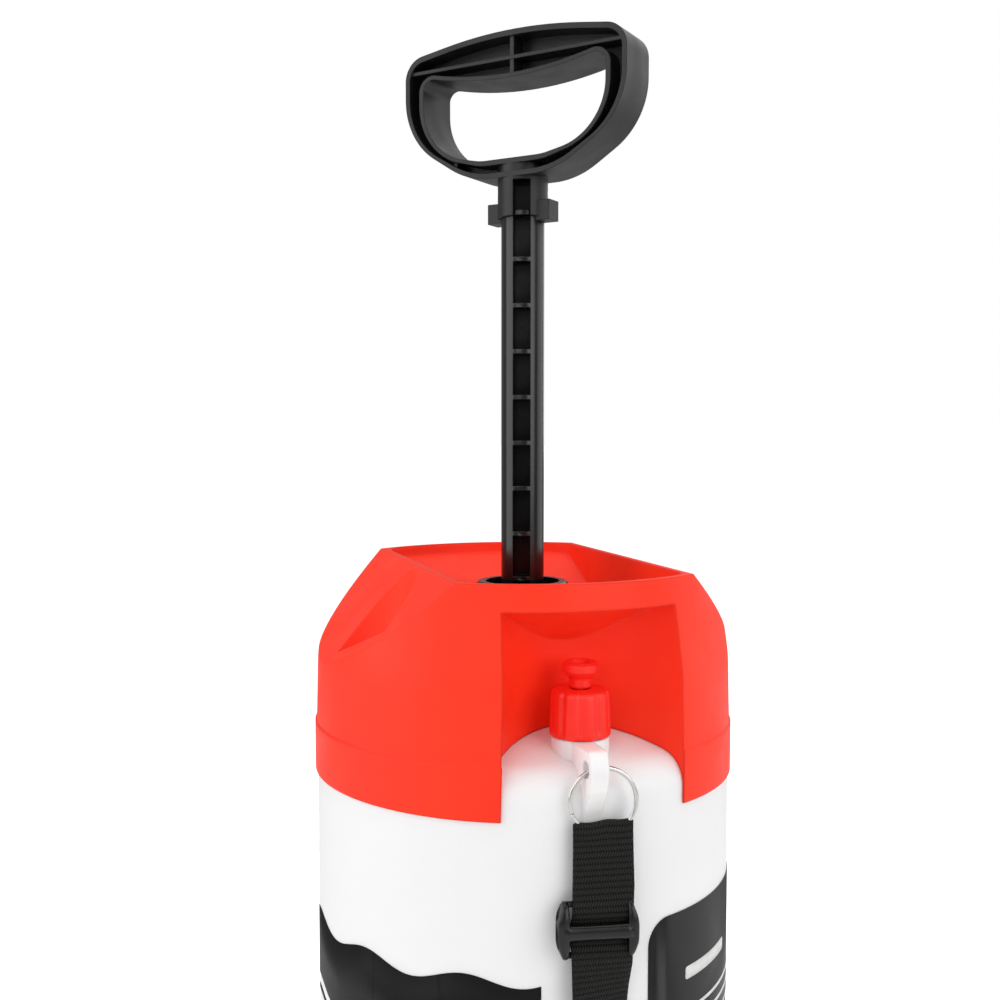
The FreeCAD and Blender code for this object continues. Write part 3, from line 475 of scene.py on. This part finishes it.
def wall_film(name, outline, radius, thickness, shader):
    """A thin film of any outline wrapped round the tank's wall, cut into narrow strips to bend."""
    strip = 0.0025
    work = bmesh.new()
    work.faces.new([work.verts.new((s, 0.0, z)) for s, z in outline])
    low = min(s for s, z in outline)
    high = max(s for s, z in outline)
    for k in range(1, int((high - low) / strip) + 1):
        geometry = work.verts[:] + work.edges[:] + work.faces[:]
        bmesh.ops.bisect_plane(work, geom=geometry, plane_co=(low + k * strip, 0, 0), plane_no=(1, 0, 0))
    bmesh.ops.triangulate(work, faces=work.faces[:])
    for vert in work.verts:
        angle = vert.co.x / radius
        vert.co = Vector((radius * math.sin(angle), -radius * math.cos(angle), vert.co.z))
    bmesh.ops.recalc_face_normals(work, faces=work.faces[:])
    level_only = Vector((1, 1, 0))
    outward = sum(face.normal.dot(face.calc_center_median() * level_only) for face in work.faces)
    if outward < 0:
        bmesh.ops.reverse_faces(work, faces=work.faces[:])
    mesh = bpy.data.meshes.new(name)
    work.to_mesh(mesh)
    work.free()
    piece = bpy.data.objects.new(name, mesh)
    bpy.context.collection.objects.link(piece)
    solid = piece.modifiers.new("thickness", "SOLIDIFY")
    solid.thickness = thickness
    solid.offset = 1.0
    mesh.shade_smooth()
    shader.give(piece)
    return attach(piece, "tank")


def add_label(film, light_ink):
    """The black label on the right, with plain bars where its wording would be."""
    low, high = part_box("label")
    radius = high.x
    left = radius * LABEL_LEFT
    right = radius * LABEL_RIGHT
    outline = rounded_outline(left, right, low.z, high.z, LABEL_CORNER)
    label = wall_film("label_film", outline, radius - LABEL_DEPTH, LABEL_DEPTH, film)
    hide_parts("label")

    def print_bar(name, start, length, top, tall, corner):
        """One plain bar, its start measured from the label's left edge."""
        bar = rounded_outline(left + start, left + start + length, top - tall, top, corner)
        wall_film(name, bar, radius + INK_LIFT, INK_DEPTH, light_ink)

    heading = high.z - 0.025
    print_bar("label_heading", start=0.022, length=0.038, top=heading, tall=0.0055, corner=0.0012)
    line_step, group_step = 0.0062, 0.0105
    level = heading - 0.018
    for index, length in enumerate(BAR_LENGTHS):
        name = "label_bar_" + str(index + 1)
        print_bar(name, start=0.010, length=length, top=level, tall=0.0016, corner=0.0006)
        level -= line_step if index % BARS_IN_GROUP < BARS_IN_GROUP - 1 else group_step


def add_wave_mark(dark_ink):
    """A generic wave printed on the left of the wall, with a thin stripe below it."""
    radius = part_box("tank")[1].x + 0.00004
    depth = 0.00012
    start = -radius * math.radians(98.0)
    end = -radius * math.radians(14.0)
    crest = 0.0025
    wave = 0.048
    bands = {"wave_mark": (0.2855, 0.254), "wave_stripe": (0.249, 0.2465)}
    count = 120
    stations = [start + (end - start) * k / count for k in range(count + 1)]

    def level(s, base):
        return base + crest * math.sin(2 * math.pi * (s - start) / wave)

    for name, (upper, lower) in bands.items():
        outline = [(s, level(s, upper)) for s in stations]
        outline += [(s, level(s, lower)) for s in reversed(stations)]
        wall_film(name, outline, radius, depth, dark_ink)


# ---------------------------------------------------------------- relief valve

# (share of the radius, share of the height), from under the lower edge up the side and over the top
CAP_PROFILE = [
    (0.82, -0.006), (0.94, -0.012), (0.985, 0.008), (1.0, 0.04), (1.0, 0.11), (0.997, 0.2),
    (0.988, 0.35), (0.98, 0.5), (0.972, 0.65), (0.965, 0.8), (0.958, 0.87), (0.945, 0.93),
    (0.915, 0.975), (0.85, 1.0), (0.62, 1.004), (0.5, 1.008), (0.42, 1.02), (0.36, 1.022),
    (0.27, 1.0), (0.25, 0.985), (0.25, 0.9),
]
CAP_FLUTES = 10
FLUTE_PHASE = math.radians(32.6)
FLUTE_DEPTH = 0.00085
FLUTE_SHARPNESS = 3.5
SCALLOP = 0.0004


def clamp(value):
    return min(1.0, max(0.0, value))


def add_valve_cap(shader):
    """The valve's cap: ten flutes that fade out at the scalloped lower edge and on the top."""
    low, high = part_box("valve_cap")
    centre = (low + high) / 2
    radius = (high.x - low.x) / 2
    height = high.z - low.z
    sides = 240
    vertices = []
    for share, rise in CAP_PROFILE:
        fade = clamp((rise - 0.02) / 0.12) * clamp((share - 0.6) / 0.2)
        for j in range(sides):
            angle = 2 * math.pi * j / sides
            groove = (0.5 + 0.5 * math.cos(CAP_FLUTES * (angle - FLUTE_PHASE))) ** FLUTE_SHARPNESS
            r = share * radius - FLUTE_DEPTH * groove * fade
            lift = SCALLOP * groove if rise < 0.05 else 0.0
            z = low.z + rise * height + lift
            vertices.append((centre.x + r * math.cos(angle), centre.y + r * math.sin(angle), z))
    faces = ring_faces(len(CAP_PROFILE), sides, closed_ends=False)
    cap = add_piece("valve_cap_fluted", vertices, faces, "tank", shader)
    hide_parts("valve_cap")


def add_valve_spring(shader):
    """The relief spring as a fixed coil of round wire; on the real valve it shortens towards the cap as
    the stem is pulled.
    """
    low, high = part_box("relief_spring")
    wire = 0.00047
    centre = (low + high) / 2
    coil = (high.x - low.x) / 2 - wire
    rise = high.z - low.z - 2 * wire
    turns = 3.4
    steps = 110
    points = []
    for k in range(steps + 1):
        angle = 2 * math.pi * turns * k / steps
        x = centre.x + coil * math.cos(angle)
        y = centre.y + coil * math.sin(angle)
        points.append(Vector((x, y, low.z + wire + rise * k / steps)))
    vertices, faces = sweep(points, wire)
    spring = add_piece("relief_spring_coil", vertices, faces, "tank", shader)
    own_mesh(spring)
    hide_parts("relief_spring")


# ---------------------------------------------------------------- strap and its hardware

RING_TURN = math.radians(-9.0)
SLIDER_TURN = math.radians(-10.0)
STRAP_HALF_WIDTH = 0.01225
STRAP_HALF_THICKNESS = 0.00065
STRAP_STEP = 0.00065

# (y, z, x shift) in mm and the turn in degrees: up behind the slider to the ring
STRAP_BACK = [
    (-97.9, 300.5, 0.2, -7), (-97.6, 312.5, 0.6, -7), (-97.3, 330.0, 1.0, -7),
    (-97.15, 344.0, 1.1, -7), (-97.15, 350.1, 1.0, -7),
]
# over the ring, down in front of that layer, behind the slider's centre bar and on down the wall
STRAP_FRONT = [
    (-100.75, 350.1, -0.2, -7), (-100.85, 343.0, -0.3, -7), (-100.9, 328.0, -0.4, -7),
    (-102.0, 320.5, -0.9, -8), (-103.2, 316.5, -1.2, -9), (-102.2, 312.0, -1.4, -10),
    (-99.9, 309.5, -1.5, -10), (-99.9, 304.5, -1.5, -10), (-102.4, 301.5, -1.6, -10),
    (-103.4, 297.0, -1.6, -9), (-101.8, 290.5, -1.3, -2), (-99.9, 279.0, -1.1, 8),
    (-98.9, 250.0, -0.8, 12),
]
# (y, z) in mm: away from the wall to the floor, folded once there, back and round the foot's bar
STRAP_REST = [
    (-99.4, 215.0), (-102.5, 140.0), (-109.0, 80.0), (-119.0, 38.0), (-134.0, 12.0),
    (-156.0, 3.8), (-182.0, 2.8), (-203.0, 5.0), (-218.0, 11.0), (-226.0, 5.5), (-218.0, 0.66),
    (-126.0, 0.66), (-110.0, 3.4), (-103.2, 12.0), (-103.2, 22.0), (-107.6, 25.6), (-113.0, 21.0),
    (-113.6, 10.0),
]
REST_SHIFT = 0.2
RING_FOLD_LEVEL = 0.342
RING_FOLD_HEIGHT = 0.008


def strap_route():
    """The strap's middle line as rows of y, z, x and turn, with the length up to each row."""
    controls = STRAP_BACK + STRAP_FRONT + [(y, z, REST_SHIFT, 0.0) for y, z in STRAP_REST]
    scaled = [(y * MM, z * MM, x * MM, math.radians(turn)) for y, z, x, turn in controls]
    return curve_through(scaled, STRAP_STEP)


def strap_half_thickness(share, place):
    """Half the webbing's thickness: thin at its edges, and raised in each row of yarns."""
    edge = (1 - abs(share) ** 6) ** 0.5 if abs(share) < 1 else 0.0
    row = 0.5 - 0.5 * math.cos(2 * math.pi * place / ROW_PITCH)
    return STRAP_HALF_THICKNESS * (0.25 + 0.75 * edge) * (0.86 + 0.2 * row)


def fold_ripple(share, level):
    """How unevenly the webbing sits across its width where it folds over the ring."""
    if level <= RING_FOLD_LEVEL:
        return 0.0
    unevenness = 0.0003 * math.sin(share * 6.0 + 0.8) + 0.0006 * share
    return unevenness * (level - RING_FOLD_LEVEL) / RING_FOLD_HEIGHT


def add_strap(shader):
    """One length of webbing: over the ring, through the slider, down the tank and back to the foot."""
    line, places = strap_route()
    across = 26
    vertices = []
    coordinates = []
    generator = np.random.default_rng(7)
    knots = 60
    drift = generator.normal(0, 0.00022, knots)
    sway = np.interp(places, np.linspace(0, places[-1], knots), drift)
    for i, (y, z, x, turn) in enumerate(line):
        before, after = line[max(i - 1, 0)], line[min(i + 1, len(line) - 1)]
        ahead = Vector((0, after[0] - before[0], after[1] - before[1])).normalized()
        out = Vector((0, -ahead.z, ahead.y))
        for side in (1, -1):
            for j in range(across + 1):
                share = (2 * j / across - 1) * side
                s = share * (STRAP_HALF_WIDTH + sway[i] * 0.6)
                px = x + sway[i] + s * math.cos(turn)
                py = y + s * math.sin(turn)
                pz = z + fold_ripple(share, z)
                thick = strap_half_thickness(share, places[i])
                vertices.append(Vector((px, py, pz)) + out * thick * side)
                coordinates.append((s, places[i]))
    faces = ring_faces(len(line), 2 * (across + 1))
    strap = add_piece("strap_webbing", vertices, faces, None, shader)
    layer = strap.data.uv_layers.new(name="strap")
    for loop in strap.data.loops:
        layer.data[loop.index].uv = coordinates[loop.vertex_index]
    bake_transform(strap)
    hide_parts("strap_loop", "strap_run")


def add_split_ring(shader):
    """A split ring: two turns of oval wire, with a short jog where one passes to the other."""
    low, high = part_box("upper_ring")
    drop = 0.0007
    centre = (low + high) / 2 + Vector((0, 0, -drop))
    wide = 0.0008
    deep = 0.0005
    first_end = math.radians(200.0)
    jog_start = 0.95
    jog_length = 0.1
    mean = (high.z - low.z) / 2 - wide
    facing = Vector((-math.sin(RING_TURN), math.cos(RING_TURN), 0))
    sideways = Vector((math.cos(RING_TURN), math.sin(RING_TURN), 0))
    vertices = []
    steps, sides = 300, 16
    for k in range(steps + 1):
        turn = 2 * k / steps
        angle = 2 * math.pi * turn + first_end
        jog = clamp((turn - jog_start) / jog_length)
        offset = deep * (-1 + 2 * (3 * jog ** 2 - 2 * jog ** 3))
        radial = sideways * math.cos(angle) + Vector((0, 0, math.sin(angle)))
        for j in range(sides):
            around = 2 * math.pi * j / sides
            outward = radial * (mean + wide * math.cos(around))
            vertices.append(centre + (outward + facing * (offset + deep * math.sin(around))))
    faces = ring_faces(steps + 1, sides)
    ring = add_piece("split_ring", vertices, faces, "strap_link", shader)
    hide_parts("upper_ring")


CHEEK_FRONT = 0.0048
CHEEK_BACK = 0.0026
CHEEK_LAYERS = ((0.0, 0.9), (0.12, 0.97), (0.3, 1.0), (0.7, 1.0), (0.88, 0.96), (1.0, 0.86))
BAR_HALF_LENGTH = 0.0138
END_BAR_LEVEL = 0.0102


def cheek_rings(inner, outer, half_height):
    """A cheek's rounded D outline in layers, (share of the way out, size), from inside to outside."""
    steps = 48
    roundness = 0.7
    rings = []
    for share, shrink in CHEEK_LAYERS:
        ring = []
        for k in range(steps):
            angle = 2 * math.pi * k / steps
            c, s = math.cos(angle), math.sin(angle)
            y = math.copysign(abs(c) ** roundness, c)
            z = math.copysign(abs(s) ** roundness, s)
            depth = CHEEK_FRONT if c < 0 else CHEEK_BACK
            bow = 1.0 - 0.22 * max(0.0, -y) ** 2
            x = inner + (outer * (1.0 - 0.12 * z ** 4) - inner) * share
            ring.append((x, y * depth * shrink, z * half_height * shrink * bow))
        rings.append(ring)
    return rings


def bar_rings(level, depth, tall, deep):
    """An oval bar from cheek to cheek, a little fatter at its ends."""
    steps = 24
    rings = []
    for share in np.linspace(-1, 1, 13):
        fat = 1.0 + 0.12 * share ** 4
        ring = []
        for k in range(steps):
            angle = 2 * math.pi * k / steps
            y = depth + deep * fat * math.cos(angle)
            z = level + tall * fat * math.sin(angle)
            ring.append((share * BAR_HALF_LENGTH, y, z))
        rings.append(ring)
    return rings


def face_outwards(mesh):
    work = bmesh.new()
    work.from_mesh(mesh)
    bmesh.ops.recalc_face_normals(work, faces=work.faces[:])
    work.to_mesh(mesh)
    work.free()


def add_slider(shader):
    """The slide buckle: two deep rounded cheeks, a broad centre bar in front and slim end bars behind."""
    low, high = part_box("slider")
    centre = Vector(((low.x + high.x) / 2 + 0.0004, -0.1009, (low.z + high.z) / 2 + 0.0004))
    half_height = (high.z - low.z) / 2
    c, s = math.cos(SLIDER_TURN), math.sin(SLIDER_TURN)
    lofts = [
        cheek_rings(-0.0115, -0.0161, half_height),
        cheek_rings(0.0120, 0.0161, half_height),
        bar_rings(level=0.0, depth=-0.0032, tall=0.0029, deep=0.0018),
        bar_rings(level=END_BAR_LEVEL, depth=0.0006, tall=0.0012, deep=0.0010),
        bar_rings(level=-END_BAR_LEVEL, depth=0.0006, tall=0.0012, deep=0.0010),
    ]
    vertices = []
    faces = []
    for rings in lofts:
        start = len(vertices)
        for x, y, z in (point for ring in rings for point in ring):
            vertices.append(centre + Vector((x * c - y * s, x * s + y * c, z)))
        for face in ring_faces(len(rings), len(rings[0])):
            faces.append(tuple(start + i for i in face))
    slider = add_piece("slide_buckle", vertices, faces, "strap_link", shader)
    face_outwards(slider.data)
    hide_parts("slider")


# ---------------------------------------------------------------- everything together


def dress():
    """Gives every carried-over node its material and adds the pieces that replace the rest."""
    tank = tank_plastic()
    collar = collar_plastic()
    valve = valve_plastic()
    handle = black_plastic("handle_black", 0.36, 0.5, 0.0006, 0.9)
    gloss = black_plastic("rod_black", 0.16, 0.26, 0.0005, 0.25)
    # Painted shade: the rod's and cap's hollows lose their shine.
    gloss.paint_hollow_shade(0.012, 0.05, 0.5)
    buckle = black_plastic("buckle_black", 0.2, 0.3, 0.0004, 0.4)
    seal = rubber()
    natural = white_plastic()
    steel = metal("drawn_steel", (0.6, 0.6, 0.61), 0.25, 0.4, (1.0, 1.0, 6.0))
    nickel = metal("nickel_plate", (0.62, 0.61, 0.59), 0.12, 0.24, (1.0, 1.0, 1.0))
    cloth = webbing_cloth()
    paint_nodes(tank, "tank", "neck_ring")
    paint_nodes(collar, "funnel_collar", "base_foot")
    paint_nodes(valve, "relief_knob")
    paint_nodes(natural, "valve_seat", "dip_filter", "rod_guide", "pump_barrel", "piston_body")
    paint_nodes(steel, "relief_stem")
    paint_nodes(seal, "relief_seal", "outlet_gasket", "cap_gasket")
    paint_nodes(seal, "stop_washer", "foot_valve_disc", "piston_cup")
    paint_nodes(handle, "handle", "handle_pin", "collar_nut", "hose_outlet")
    paint_nodes(handle, "outlet_nut", "foot_valve_body", "piston_nut")
    paint_nodes(gloss, "pump_rod", "pump_cap")
    paint_nodes(clear_tube(), "dip_tube")
    add_label(label_film(), ink("label_ink", (0.72, 0.72, 0.7)))
    add_wave_mark(ink("wave_ink", (0.004, 0.004, 0.004)))
    add_valve_cap(valve)
    add_valve_spring(steel)
    add_split_ring(nickel)
    add_slider(buckle)
    add_strap(cloth)


def light():
    """Soft lamps all round, so that no side falls into a hard shadow."""
    add_area("key_left", (-1.1, -1.3, 1.2), width=1.1, height=1.4, power=7.5)
    add_area("side_left", (-1.4, 0.05, 0.85), width=1.3, height=1.4, power=11.0)
    add_area("fill_front", (0.8, -1.6, 1.0), width=1.4, height=1.4, power=14.0)
    add_area("side_right", (1.6, 0.0, 0.9), width=1.4, height=1.6, power=7.0)
    add_area("top", (0.0, 0.1, 1.9), width=1.5, height=1.5, power=12.0)
    add_area("back_right", (1.1, 1.1, 1.1), width=0.8, height=1.4, power=4.0)


bpy.context.scene.view_settings.view_transform = "Standard"
add_camera()
add_world()
add_stage()
light()
dress()
